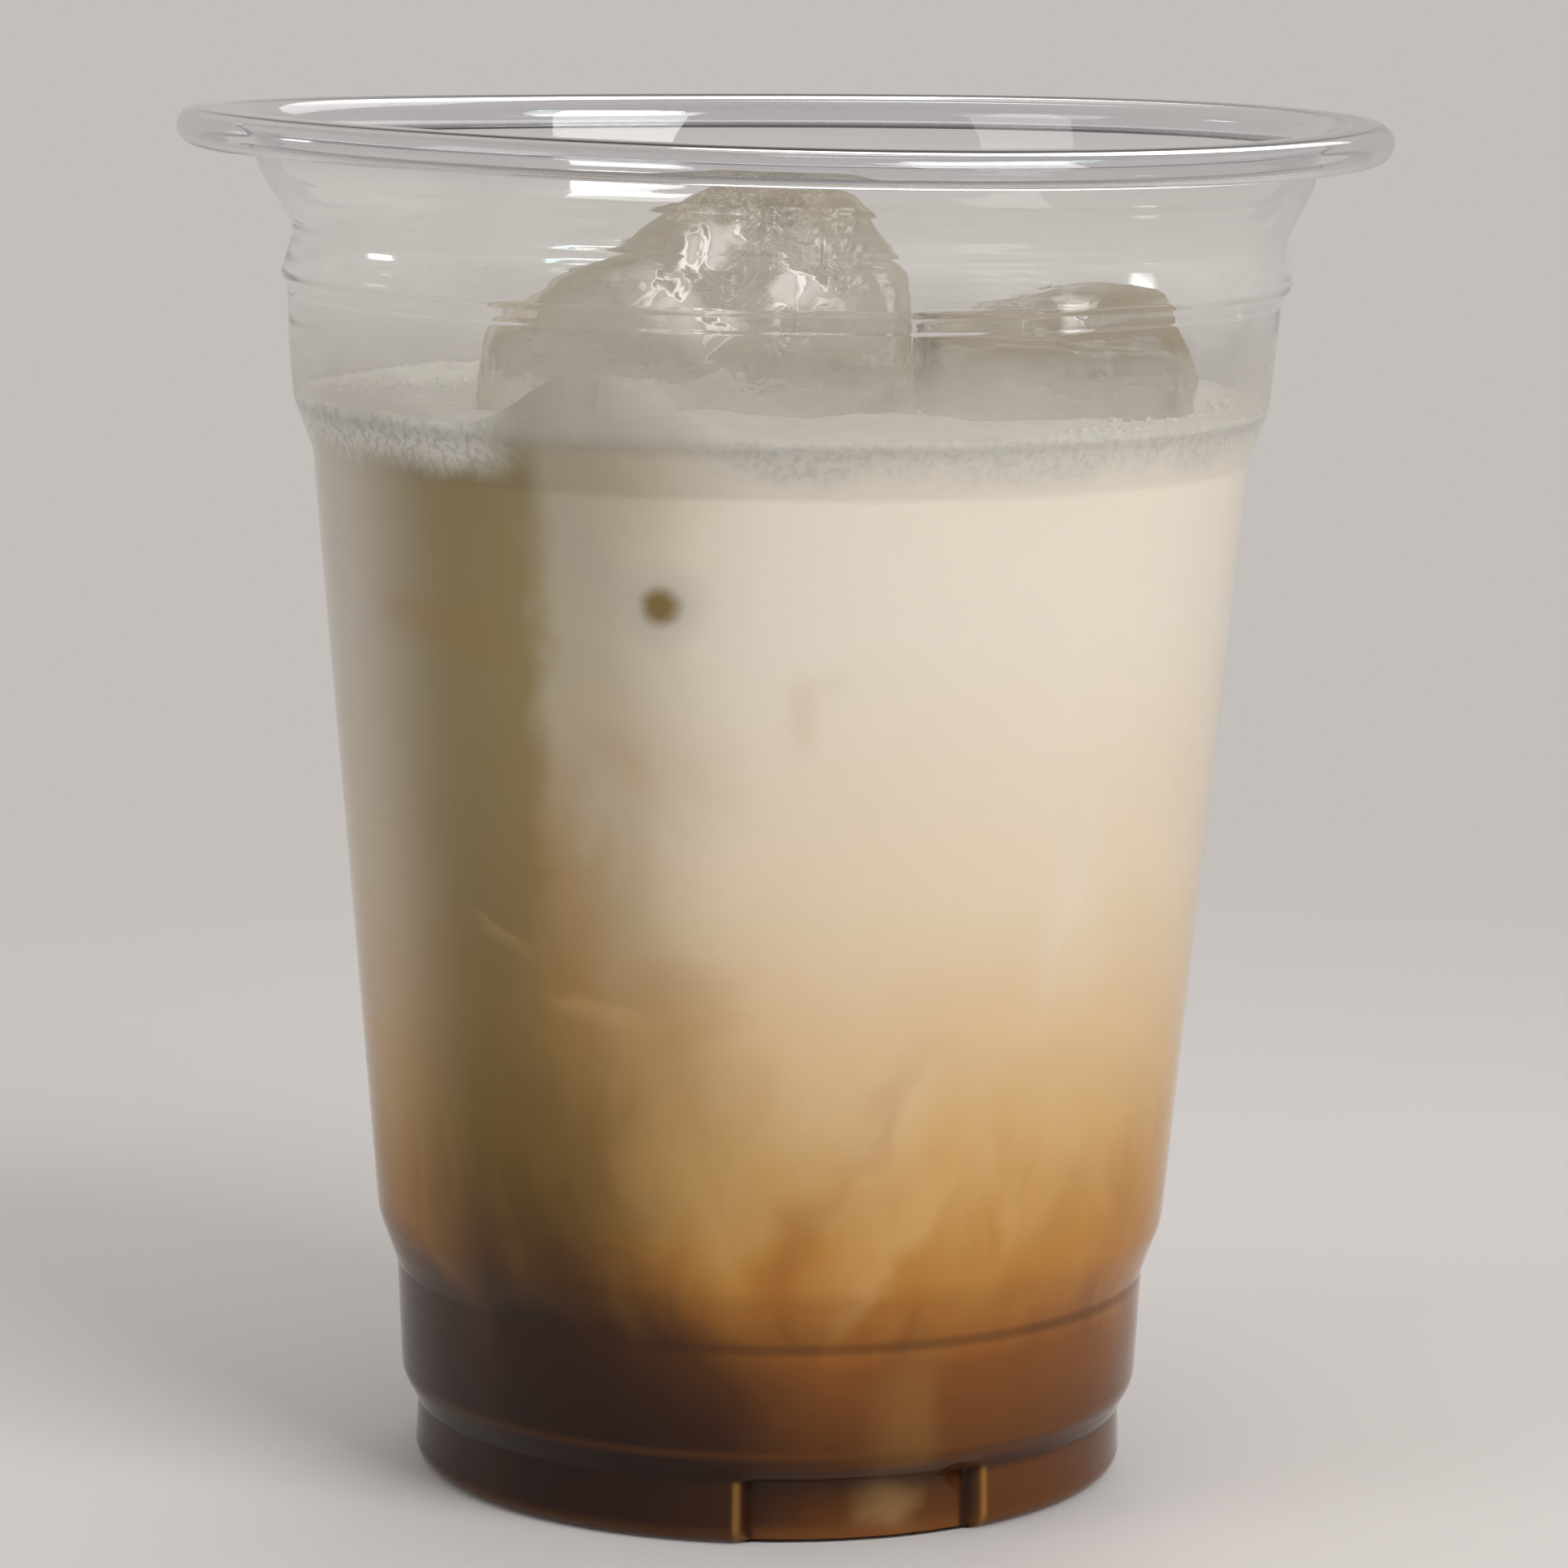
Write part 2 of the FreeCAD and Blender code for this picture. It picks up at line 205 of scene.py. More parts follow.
class DrinkSizes(bpy.types.PropertyGroup):
    """Sizes and colours of the drink."""
    hump: length("Milk Hump", 4.4, "How high the milk clings to the wall at the front")
    bubbles: FloatProperty(name="Bubbles", default=3700000.0, description="Bubbles on a square metre")
    bubble_smallest: length("Smallest Bubble", 0.06, "Radius of the smallest bubble")
    bubble_largest: length("Largest Bubble", 0.36, "Radius of the largest bubble")
    coffee: shade("Coffee", (38, 16, 6), "Bottom of the cup, on the side rich in coffee")
    coffee_warm: shade("Warm Coffee", (50, 27, 12), "Coffee just over the bottom")
    umber: shade("Umber", (86, 57, 26), "Coffee side, low")
    bronze: shade("Bronze", (118, 90, 42), "Coffee side, under the middle")
    khaki_brown: shade("Khaki Brown", (138, 113, 69), "Coffee side, middle")
    khaki: shade("Khaki", (150, 134, 97), "Coffee side, under thin milk")
    coffee_light: shade("Light Coffee", (88, 49, 16), "Bottom of the cup on the milky side")
    brown: shade("Brown", (118, 70, 27), "Coffee with a little milk")
    brown_gold: shade("Golden Brown", (161, 106, 44), "Coffee with more milk")
    amber: shade("Amber", (172, 125, 60), "Where milk has sunk in")
    caramel: shade("Caramel", (192, 156, 104), "Over the amber")
    tan: shade("Tan", (201, 174, 137), "Lower middle of the drink")
    cream: shade("Cream", (208, 192, 169), "Milk with a little coffee")
    milk: shade("Milk", (210, 201, 188), "The top of the milk")
    gold: shade("Gold", (160, 122, 66), "Golden streaks")
    rust: shade("Rust", (146, 92, 38), "Darker streaks")
    wisp: shade("Wisp", (208, 174, 120), "Pale streaks")
    spot: shade("Spot", (122, 102, 62), "The soft dark spot")
    khaki_grey: shade("Khaki Grey", (132, 122, 94), "Cloud in the coffee side")
    froth: shade("Froth", (168, 163, 154), "Grey clouds, and the hollows in the froth")
    froth_edge: shade("Froth Edge", (194, 190, 183), "The milk's edge at the wall")
    froth_left: shade("Pale Froth Edge", (222, 219, 211), "The milk's edge at the left")
    foam: shade("Foam", (202, 198, 191), "Froth on top")
    bubble: shade("Bubble", (212, 209, 202), "Skin of a bubble")
    bubble_dark: shade("Dark Bubble", (194, 189, 180), "Skin of a bubble, where it is thin")


class IceSizes(bpy.types.PropertyGroup):
    """Sizes and colours of the ice."""
    grain: length("Mesh Grain", 0.5, "Size of the faces on the ice")
    tint: shade("Ice Tint", (218, 213, 204), "Colour of clear ice")
    deep: shade("Deep Tint", (202, 192, 176), "Colour of clear ice over coffee")
    # Partly the ice's own tint and partly painted shade along its top and edges.
    khaki: shade("Khaki Edge", (190, 180, 148), "Colour of the ice's top and edges")
    amber: shade("Amber Streaks", (118, 98, 54), "Coffee on the small piece's top")
    # Painted highlight: white folds that stand in for glints on the broken patch.
    painted_glint: shade("Flakes", (240, 237, 232), "Colour of the white folds where the ice broke")
    frost: shade("Frost", (166, 159, 146), "Colour of the frost inside")


class StageSizes(bpy.types.PropertyGroup):
    """The floor, the light and the camera."""
    backdrop: shade("Backdrop", (196, 191, 187), "Colour of all that lies round the floor")
    floor: shade("Floor", (211, 209, 208), "Colour of the floor where it is lit")
    room: shade("Room", (52, 52, 55), "Colour of the room that the sheet mirrors")
    key: power("Key Lamp", 5.3, "Power of the main lamp")
    fill: power("Fill Lamp", 1.5, "Power of the fill lamp")
    back: power("Back Lamp", 1.6, "Power of the lamp behind")
    lens: FloatProperty(name="Lens", default=137.07, unit="CAMERA", description="Focal length in mm")


GROUPS = {"latte_cup": CupSizes, "latte_drink": DrinkSizes,
          "latte_ice": IceSizes, "latte_stage": StageSizes}


# ---- Outlines ----------------------------------------------------------------------
def unit(a, b):
    """The direction from point a to point b."""
    size = math.hypot(b[0] - a[0], b[1] - a[1])
    return (b[0] - a[0]) / size, (b[1] - a[1]) / size


def shifted(points, distance):
    """An open outline of (radius, height, rounding), moved to its right-hand side."""
    moved = []
    for i, (x, z, rounding) in enumerate(points):
        before = unit(points[i - 1], points[i]) if i else unit(points[0], points[1])
        after = unit(points[i], points[i + 1]) if i + 1 < len(points) else before
        turn = before[0] * after[1] - before[1] * after[0]
        lean = 1 + before[0] * after[0] + before[1] * after[1]
        x += distance * (before[1] + after[1]) / lean
        z -= distance * (before[0] + after[0]) / lean
        if rounding:
            rounding += distance if turn > 0 else -distance
        moved.append((x, z, rounding))
    return moved


def sampled(points, arc_step=radians(11), longest=5.0):
    """Points along an outline: arcs at its rounded corners and even steps on its straights."""
    bends = []
    for i, (x, z, rounding) in enumerate(points):
        if not rounding or i in (0, len(points) - 1):
            bends.append([(x, z)])
            continue
        (ux, uz), (vx, vz) = unit(points[i - 1], points[i]), unit(points[i], points[i + 1])
        turn = math.atan2(ux * vz - uz * vx, ux * vx + uz * vz)
        reach = rounding * math.tan(abs(turn) / 2)
        side = 1 if turn > 0 else -1
        centre = (x - reach * ux - side * rounding * uz, z - reach * uz + side * rounding * ux)
        start = math.atan2(z - reach * uz - centre[1], x - reach * ux - centre[0])
        steps = max(3, math.ceil(abs(turn) / arc_step))
        bends.append([(centre[0] + rounding * cos(start + turn * k / steps),
                       centre[1] + rounding * sin(start + turn * k / steps)) for k in range(steps + 1)])
    line = list(bends[0])
    for bend in bends[1:]:
        (x0, z0), (x1, z1) = line[-1], bend[0]
        gap = math.hypot(x1 - x0, z1 - z0)
        count = max(1, math.ceil(gap / longest))
        line += [(x0 + (x1 - x0) * k / count, z0 + (z1 - z0) * k / count) for k in range(1, count)]
        line += bend if gap > 1e-6 else bend[1:]
    return line


def sheet_line(wall):
    """The middle line of the cup's sheet, in mm, from the axis to the end of the lip."""
    half = wall / 2
    foot = [(SHOULDER_RADIUS - step - half, z, r) for step, z, r in FOOT_ZONES]
    rim = [(RIM_RADIUS - step - half, HEIGHT - down, r) for step, down, r in RIM_ZONES]
    roll = (LIP_HEIGHT - wall) / 2
    top, under, edge = HEIGHT - half, HEIGHT - LIP_HEIGHT + half, RIM_RADIUS - half
    lip = [(RIM_RADIUS - LIP_FLARE_IN, top, LIP_FLARE_ROUND), (edge, top, roll), (edge, under, roll),
           (RIM_RADIUS - LIP_WIDTH, under, 0.0)]
    return [(0.0, FOOT_ZONES[0][1], 0.0)] + foot + rim + lip


def at_height(line, z):
    """The radius of a rising line of (radius, height) at a height."""
    for (r0, z0), (r1, z1) in zip(line, line[1:]):
        if z0 <= z <= z1 and z1 > z0:
            return r0 + (r1 - r0) * (z - z0) / (z1 - z0)
    return line[-1][0]


# ---- Node trees --------------------------------------------------------------------
class Tree:
    """Adds nodes to a tree and links them."""

    def __init__(self, tree):
        self.tree = tree

    def add(self, kind, *inputs, **settings):
        """One node. Inputs are given in the order of its sockets: a value, a socket or None."""
        node = self.tree.nodes.new(kind)
        for name, value in settings.items():
            setattr(node, name, value)
        self.feed(node, dict(enumerate(inputs)))
        return node

    def feed(self, node, inputs):
        """Sets or links a node's inputs, by number or by name."""
        for key, value in inputs.items():
            if value is None:
                continue
            if isinstance(value, bpy.types.NodeSocket):
                self.tree.links.new(value, node.inputs[key])
            else:
                node.inputs[key].default_value = value

    def math(self, operation, *inputs, clamp=False):
        return self.add("ShaderNodeMath", *inputs, operation=operation, use_clamp=clamp).outputs[0]

    def plus(self, *inputs):
        return self.math("ADD", *inputs)

    def minus(self, *inputs, clamp=False):
        return self.math("SUBTRACT", *inputs, clamp=clamp)

    def times(self, *inputs, clamp=False):
        return self.math("MULTIPLY", *inputs, clamp=clamp)

    def apart(self, first, second):
        """How far two values lie apart."""
        return self.math("ABSOLUTE", self.minus(first, second))

    def vector(self, operation, *inputs):
        node = self.add("ShaderNodeVectorMath", *inputs, operation=operation)
        return node.outputs[1 if operation in ("LENGTH", "DISTANCE", "DOT_PRODUCT") else 0]

    def scaled(self, vector, scale):
        node = self.add("ShaderNodeVectorMath", vector, operation="SCALE")
        self.feed(node, {"Scale": scale})
        return node.outputs[0]

    def stretched(self, place, scale, turn=(0.0, 0.0, 0.0)):
        """A place turned and stretched along each axis."""
        node = self.add("ShaderNodeMapping", place)
        self.feed(node, {"Scale": scale, "Rotation": turn})
        return node.outputs[0]

    def place(self):
        """The place on the piece, in mm."""
        return self.scaled(self.add("ShaderNodeTexCoord").outputs["Object"], 1 / MM)

    def xyz(self, *inputs):
        return self.add("ShaderNodeCombineXYZ", *inputs).outputs[0]

    def between(self, value, low, high, start=0.0, end=1.0):
        """A smooth step from start to end as the value goes from low to high."""
        return self.add("ShaderNodeMapRange", value, low, high, start, end,
                        interpolation_type="SMOOTHSTEP").outputs[0]

    def slope(self, value, low, high, start=0.0, end=1.0):
        """A straight step from start to end as the value goes from low to high."""
        return self.add("ShaderNodeMapRange", value, low, high, start, end).outputs[0]

    def noise(self, place, scale, detail=2.0, rough=0.5, warp=0.0):
        """Noise of 0 to 1 at a place."""
        node = self.add("ShaderNodeTexNoise")
        self.feed(node, {"Vector": place, "Scale": scale, "Detail": detail, "Roughness": rough,
                         "Distortion": warp})
        return node.outputs[0]

    def mix(self, factor, *colours):
        """A blend of two colours, each a socket or red, green and blue."""
        node = self.add("ShaderNodeMix", data_type="RGBA")
        first, second = (c if isinstance(c, bpy.types.NodeSocket) else (*c, 1.0) for c in colours)
        self.feed(node, {0: factor, 6: first, 7: second})
        return node.outputs[2]

    def shaders(self, factor, first, second):
        """A blend of two shaders."""
        return self.add("ShaderNodeMixShader", factor, first.outputs[0], second.outputs[0])

    def ramp(self, value, stops):
        """A colour ramp with stops of (place, colour)."""
        node = self.add("ShaderNodeValToRGB", value)
        elements = node.color_ramp.elements
        while len(elements) < len(stops):
            elements.new(0.5)
        for element, (place, rgb) in zip(elements, stops):
            element.position = place
            element.color = (*rgb, 1.0)
        return node.outputs[0]


def finish_named(name):
    """A new material with its tree, its principled shader and its output."""
    material = bpy.data.materials.new(name)
    material.use_nodes = True
    tree = Tree(material.node_tree)
    nodes = material.node_tree.nodes
    return material, tree, nodes["Principled BSDF"], nodes["Material Output"]


def let_lamps_through(tree, shader, output, amount=0.94):
    """Makes a clear material cast next to no shadow, and lets light out that is caught in it."""
    path = tree.add("ShaderNodeLightPath")
    caught = tree.math("GREATER_THAN", path.outputs["Ray Depth"], BOUNCES)
    free = tree.math("MAXIMUM", path.outputs["Is Shadow Ray"], caught)
    clearness = tree.mix(caught, (amount, amount, amount), CAUGHT_LIGHT)
    through = tree.add("ShaderNodeBsdfTransparent", clearness)
    tree.feed(output, {"Surface": tree.shaders(free, shader, through).outputs[0]})


def sheet_material(cup, name, index):
    """Clear formed plastic with fine drawn ripples, hazy over the drink and filmed with milk."""
    material, tree, shader, output = finish_named(name)
    place = tree.place()
    height = tree.add("ShaderNodeSeparateXYZ", place).outputs[2]
    cloud = tree.noise(place, 0.06, 2.0, 0.6)
    rough = tree.between(cloud, 0.35, 0.75, 0.01, 0.035)
    tint = tree.mix(cloud, cup.tint, [0.98 * c for c in cup.tint])
    tint = tree.mix(tree.between(height, HEIGHT - 4.5, HEIGHT - 2.5), tint, cup.lip_tint)
    ripple = tree.noise(tree.stretched(place, (0.04, 0.04, 0.8)), 1.0, 1.0)
    ripple = tree.times(ripple, tree.between(height, 105.0, 102.0))
    bump = tree.add("ShaderNodeBump", 0.3, 0.00022)
    tree.feed(bump, {"Height": ripple})
    tree.feed(shader, {"Base Color": tint, "Roughness": rough, "IOR": index,
                       "Transmission Weight": 1.0, "Normal": bump.outputs[0]})
    milky = tree.mix(tree.between(height, LEVEL + 10.0, LEVEL + 6.0), cup.haze, cup.film)
    mist = tree.add("ShaderNodeBsdfDiffuse", milky)
    haze = tree.times(tree.between(height, LEVEL - 1.0, LEVEL + 3.0),
                      tree.between(height, HEIGHT - 4.0, HEIGHT - 9.0))
    haze = tree.times(haze, tree.between(cloud, 0.3, 0.7, 0.03, 0.12))
    reach = tree.plus(height, tree.times(tree.minus(cloud, 0.5), 12.0))
    film = tree.times(tree.between(reach, LEVEL + 9.0, LEVEL - 1.0, 0.0, 0.45),
                      tree.between(height, LEVEL - 1.5, LEVEL + 1.0))
    hazy = tree.shaders(tree.math("MAXIMUM", haze, film), shader, mist)
    let_lamps_through(tree, hazy, output)
    return material


def stroke(tree, spot, start, end, left, right):
    """A soft streak of 0 to 1 along the line between two flat places, tapering at both ends."""
    run = Vector((end[0] - start[0], end[1] - start[1], 0.0))
    along = run.normalized()
    across = Vector((-along[1], along[0], 0.0))
    away = tree.vector("SUBTRACT", spot, (start[0], start[1], 0.0))
    travel = tree.math("DIVIDE", tree.vector("DOT_PRODUCT", away, tuple(along)), run.length)
    side = tree.vector("DOT_PRODUCT", away, tuple(across))
    taper = tree.times(tree.between(travel, -0.25, 0.3), tree.between(travel, 1.25, 0.7))
    body = tree.times(tree.between(side, -right, 0.0), tree.between(side, left, 0.0))
    return tree.times(taper, body)


def drink_material(cup, drink):
    """Coffee under milk: brown that rises into tan and cream in soft clouds and wisps, with a few
    patches and lines of painted highlight, reflection and shade.
    """
    material, tree, shader, output = finish_named("latte")
    place = tree.place()
    x, y, z = tree.add("ShaderNodeSeparateXYZ", place).outputs
    turn = tree.math("ARCTAN2", x, tree.times(y, -1.0))
    turn = tree.times(turn, 180 / pi)

    broad = tree.minus(tree.noise(place, 0.05, 2.0, 0.5, 0.6), 0.5)
    fine = tree.minus(tree.noise(place, 0.12, 3.0, 0.5, 1.0), 0.5)
    tall = tree.stretched(place, (1.0, 1.0, 0.4), (0.0, 0.35, 0.0))
    wisps = tree.minus(tree.noise(tall, 0.13, 3.0, 0.5, 1.2), 0.5)

    tongue = tree.times(wisps, tree.between(z, 44.0, 26.0, 2.0, 11.0))
    tongue = tree.times(tongue, tree.between(z, 12.0, 22.0, 0.3, 1.0))
    height = tree.plus(z, tree.plus(tree.times(broad, 9.0), tongue))
    height = tree.math("DIVIDE", height, TONES_TOP)
    lit, deep = (tree.ramp(height, [(at / TONES_TOP, getattr(drink, tone)) for at, tone in tones])
                 for tones in (LIT_TONES, DEEP_TONES))

    edge = tree.plus(turn, tree.times(fine, 9.0))
    low = tree.between(z, 21.0, 9.0, 0.0, 18.0)
    veil = tree.between(tree.minus(edge, low), -2.0, -24.0, 0.0, 0.55)
    band = tree.plus(-29.5, tree.between(z, 52.0, 36.0, 0.0, 8.0))
    soft = tree.plus(tree.between(z, 56.0, 34.0, 2.8, 9.0), tree.between(z, 26.0, 14.0, 0.0, 12.0))
    past = tree.math("DIVIDE", tree.minus(tree.plus(band, low), edge), soft)
    core = tree.between(past, -1.0, 1.0, 0.0, 0.45)
    left_side = tree.between(turn, -165.0, -85.0)
    # Painted light: towards the left edge the coffee side fades back towards milk, for the light that
    # the grazing edge catches.
    far = tree.math("MAXIMUM", tree.between(turn, -68.0, -41.0, 0.1, 1.0),
                    tree.between(z, 25.0, 17.0, 0.0, 0.9))
    far = tree.times(far, left_side)
    rich = tree.times(tree.plus(veil, core), far)
    body = tree.mix(rich, lit, deep)

    drift = tree.xyz(tree.times(fine, 7.0), tree.times(broad, 6.0))
    flat = tree.xyz(tree.times(turn, 36 * pi / 180), z)
    flat = tree.vector("ADD", flat, drift)
    for start, end, left, right, strength, tone in SWIRLS_AND_HIGHLIGHTS:
        near = tree.times(stroke(tree, flat, start, end, left, right), strength)
        body = tree.mix(near, body, getattr(drink, tone))

    spot = tree.vector("DISTANCE", place, SPOT)
    spot = tree.plus(spot, tree.times(fine, 2.0))
    body = tree.mix(tree.between(spot, 4.8, 1.4, 0.0, 0.45), body, drink.froth)
    body = tree.mix(tree.between(spot, 2.3, 0.8), body, drink.spot)

    # Painted shade and highlight lines at the sheet's bends.
    for at, reach, core, strength, tone in PAINTED_BEND_LINES:
        near = tree.between(tree.apart(z, at), reach, core, 0.0, strength)
        body = tree.mix(near, body, getattr(drink, tone))
    # Painted highlight: a paler line along the base edge.
    body = tree.mix(tree.between(z, 1.7, 0.5, 0.0, 0.5), body, drink.brown)
    pitch = 360 / cup.recesses
    corner = tree.plus(turn, 270.0 - math.degrees(cup.recess_first) + pitch / 2)
    corner = tree.minus(tree.math("FLOORED_MODULO", corner, pitch), pitch / 2)
    corner = tree.minus(tree.math("ABSOLUTE", corner), math.degrees(cup.recess_arc) / 2)
    foot = tree.between(z, 5.6, 4.8)
    # Painted highlight and painted shade lines at the ends of each recess.
    for at, reach, core, strength, tone in PAINTED_RECESS_LINES:
        near = tree.between(tree.apart(corner, at), reach, core, 0.0, strength)
        body = tree.mix(tree.times(near, foot), body, getattr(drink, tone))

    cling = tree.times(tree.between(turn, -38.0, -28.0), tree.between(turn, -4.0, -12.0))
    over = tree.plus(z, tree.times(fine, 3.0))
    body = tree.mix(tree.between(over, LEVEL - 2.0, LEVEL + 2.0, 0.0, 0.8), body, drink.froth)
    specks = tree.noise(place, 1.6, 2.0)
    lip = tree.plus(z, tree.times(fine, 4.0))
    paler = tree.times(tree.between(turn, -15.0, -45.0), left_side)
    lip = tree.plus(lip, tree.times(paler, 0.6))
    lip = tree.times(tree.between(lip, 84.2, 87.2), tree.minus(1.0, cling))
    rind = tree.mix(paler, drink.froth_edge, drink.froth_left)
    rind = tree.mix(tree.between(specks, 0.45, 0.62, 0.0, 0.45), rind, drink.froth)
    body = tree.mix(lip, body, rind)
    radius = tree.math("SQRT", tree.plus(tree.times(x, x), tree.times(y, y)))
    inward = tree.between(radius, 39.0, 37.6)
    top = tree.times(tree.between(z, LEVEL - 0.8, LEVEL - 0.2), inward)
    cells = tree.add("ShaderNodeTexVoronoi", feature="DISTANCE_TO_EDGE")
    tree.feed(cells, {"Vector": tree.vector("ADD", place, drift), "Scale": 1.9})
    pores = tree.times(tree.between(cells.outputs[0], 0.02, 0.3),
                       tree.between(broad, -0.1, 0.15, 0.25, 0.8))
    foam = tree.mix(pores, drink.foam, drink.froth)
    body = tree.mix(top, body, foam)
    tree.feed(shader, {"Base Color": body, "Roughness": tree.between(fine, -0.3, 0.3, 0.35, 0.5),
                       "Specular IOR Level": 0.06})
    return material


def ice_material(ice):
    """Clear wet ice, a little frosted: khaki along its edges, partly painted shade; creased where it
    broke, and bright there with white folds of painted highlight.
    """
    material, tree, shader, output = finish_named("ice")
    place = tree.place()
    cloud = tree.noise(place, 0.16, 3.0, 0.55, 1.0)
    edge, broken, golden = (tree.add("ShaderNodeAttribute", attribute_name=mark).outputs["Fac"]
                            for mark in ("edge", "broken", "golden"))
    tint = tree.mix(tree.between(cloud, 0.35, 0.65), ice.tint, ice.deep)
    # Khaki along the top and ends: partly the ice's own tint and partly painted shade.
    edge_tint_and_shade = tree.times(edge, tree.between(cloud, 0.3, 0.6, 0.55, 1.0))
    tint = tree.mix(edge_tint_and_shade, tint, ice.khaki)
    streak = tree.noise(tree.stretched(place, (0.12, 0.2, 0.9)), 1.0, 2.0, 0.5, 0.8)
    streak = tree.between(streak, 0.36, 0.54, 0.15, 1.0)
    stain = tree.times(golden, streak)
    tint = tree.mix(tree.times(stain, 0.75), tint, ice.amber)
    warp = tree.noise(place, 0.3, 1.0)
    bent = tree.vector("ADD", place, tree.scaled(tree.xyz(warp, 0.3, warp), 4.0))
    folds = tree.noise(bent, 0.22, 3.0, 0.55, 0.5)
    relief = tree.times(folds, tree.plus(0.35, tree.times(broken, 2.2)))
    bump = tree.add("ShaderNodeBump", 0.7, 0.0012)
    tree.feed(bump, {"Height": relief})
    rough = tree.between(cloud, 0.3, 0.7, 0.03, 0.12)
    tree.feed(shader, {"Base Color": tint, "Roughness": rough, "IOR": 1.31,
                       "Transmission Weight": 1.0, "Normal": bump.outputs[0]})
    frost = tree.add("ShaderNodeBsdfDiffuse", tree.mix(stain, ice.frost, ice.amber))
    frosted = tree.times(tree.between(cloud, 0.3, 0.7, 0.18, 0.4), tree.minus(1.0, broken))
    frosted = tree.math("MAXIMUM", frosted, tree.times(stain, 0.65))
    clouded = tree.shaders(frosted, shader, frost)
    # White folds of painted highlight on the broken patch, standing in for glints on its creases.
    patchy = tree.between(tree.noise(place, 0.2, 2.0), 0.44, 0.56)
    white = tree.plus(tree.between(tree.apart(folds, 0.5), 0.03, 0.004, 0.0, 0.9),
                      tree.between(folds, 0.44, 0.60, 0.05, 0.5))
    white = tree.times(white, tree.times(patchy, broken), clamp=True)
    painted_glints = tree.add("ShaderNodeBsdfDiffuse", (*ice.painted_glint, 1))
    let_lamps_through(tree, tree.shaders(white, clouded, painted_glints), output)
    return material


def bubble_material(drink):
    """Thin skins of milk froth."""
    material, tree, shader, output = finish_named("froth_bubble")
    place = tree.add("ShaderNodeTexCoord").outputs["Object"]
    skin = tree.noise(place, 1500.0, 2.0)
    tone = tree.mix(skin, drink.bubble, drink.bubble_dark)
    tree.feed(shader, {"Base Color": tone, "Roughness": tree.between(skin, 0.3, 0.7, 0.15, 0.35),
                       "Transmission Weight": 0.12, "IOR": 1.33})
    return material


def floor_material(stage):
    """A plain pale floor that fades into the same colour all round."""
    material, tree, shader, output = finish_named("pale_floor")
    place = tree.add("ShaderNodeTexCoord").outputs["Object"]
    grain = tree.noise(place, 30.0, 3.0)
    tone = tree.mix(grain, stage.floor, [0.97 * c for c in stage.floor])
    tree.feed(shader, {"Base Color": tone, "Roughness": 0.6, "Specular IOR Level": 0.2})
    glow = tree.add("ShaderNodeEmission", (*stage.backdrop, 1), 1.0)
    far = tree.between(tree.vector("LENGTH", place), 0.09, 0.34)
    tree.feed(output, {"Surface": tree.shaders(far, shader, glow).outputs[0]})
    return material


# ---- Geometry Nodes ----------------------------------------------------------------
def new_group(name, inputs):
    """An empty geometry tree with named inputs, and its input and output nodes."""
    group = bpy.data.node_groups.new(name, "GeometryNodeTree")
    group.interface.new_socket("Geometry", in_out="INPUT", socket_type="NodeSocketGeometry")
    group.interface.new_socket("Geometry", in_out="OUTPUT", socket_type="NodeSocketGeometry")
    for label, kind in inputs:
        group.interface.new_socket(label, in_out="INPUT", socket_type="NodeSocket" + kind)
    tree = Tree(group)
    return group, tree, tree.add("NodeGroupInput"), tree.add("NodeGroupOutput")


def dress(tree, shape, given, result):
    """Ends a tree: the shape is shaded smooth, made real and given its material."""
    smooth = tree.add("GeometryNodeSetShadeSmooth", shape.outputs[0])
    real = tree.add("GeometryNodeRealizeInstances", smooth.outputs[0])
    dressed = tree.add("GeometryNodeSetMaterial", real.outputs[0])
    tree.feed(dressed, {"Material": given.outputs["Material"]})
    tree.feed(result, {0: dressed.outputs[0]})


